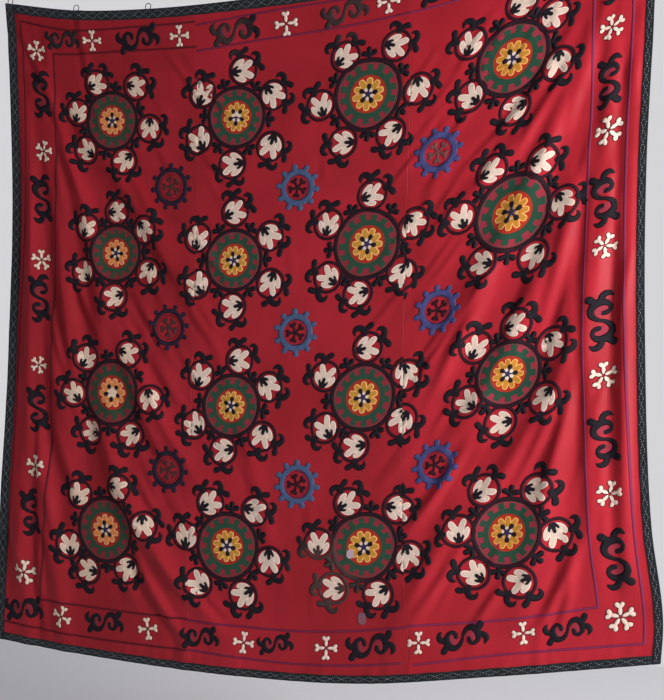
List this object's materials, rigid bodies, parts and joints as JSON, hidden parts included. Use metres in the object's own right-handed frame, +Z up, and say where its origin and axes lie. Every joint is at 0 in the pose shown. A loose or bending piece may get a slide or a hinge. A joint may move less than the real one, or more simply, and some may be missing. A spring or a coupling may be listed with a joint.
{
  "type": "embroidered suzani wall hanging",
  "caption": "Square red cotton wall hanging in loom widths with a black folded binding and small cord loops along its top edge, hanging in soft folds.",
  "frame": {"origin": "middle of the hanging's top edge, where it is held to the wall", "axes": "+Z up, +X to the right seen from the front, the embroidered face towards -Y and the wall behind at +Y"},
  "size_m": [2.4484, 0.0369, 2.5055],
  "materials": {
    "red_cotton": "soft cotton sateen with a slight sheen",
    "black_tape": "matt woven tape",
    "black_cord": "matt twisted cord",
    "black_thread": "soft chain stitched thread",
    "cream_thread": "soft chain stitched thread",
    "golden_thread": "soft chain stitched thread",
    "green_thread": "soft chain stitched thread",
    "blue_thread": "soft chain stitched thread",
    "red_thread": "soft chain stitched thread",
    "violet_thread": "soft chain stitched thread",
    "grey_thread": "fine sewing thread"
  },
  "bodies": {
    "root": {"cloth_panel_left": "red_cotton", "cloth_panel_middle": "red_cotton", "cloth_panel_right": "red_cotton", "binding_top": "black_tape", "binding_bottom": "black_tape", "binding_left": "black_tape", "binding_right": "black_tape", "hanging_loop_1": "black_cord", "hanging_loop_2": "black_cord", "hanging_loop_3": "black_cord", "hanging_loop_4": "black_cord", "hanging_loop_5": "black_cord", "hanging_loop_6": "black_cord", "hanging_loop_7": "black_cord", "hanging_loop_8": "black_cord"}
  },
  "joints": []
}
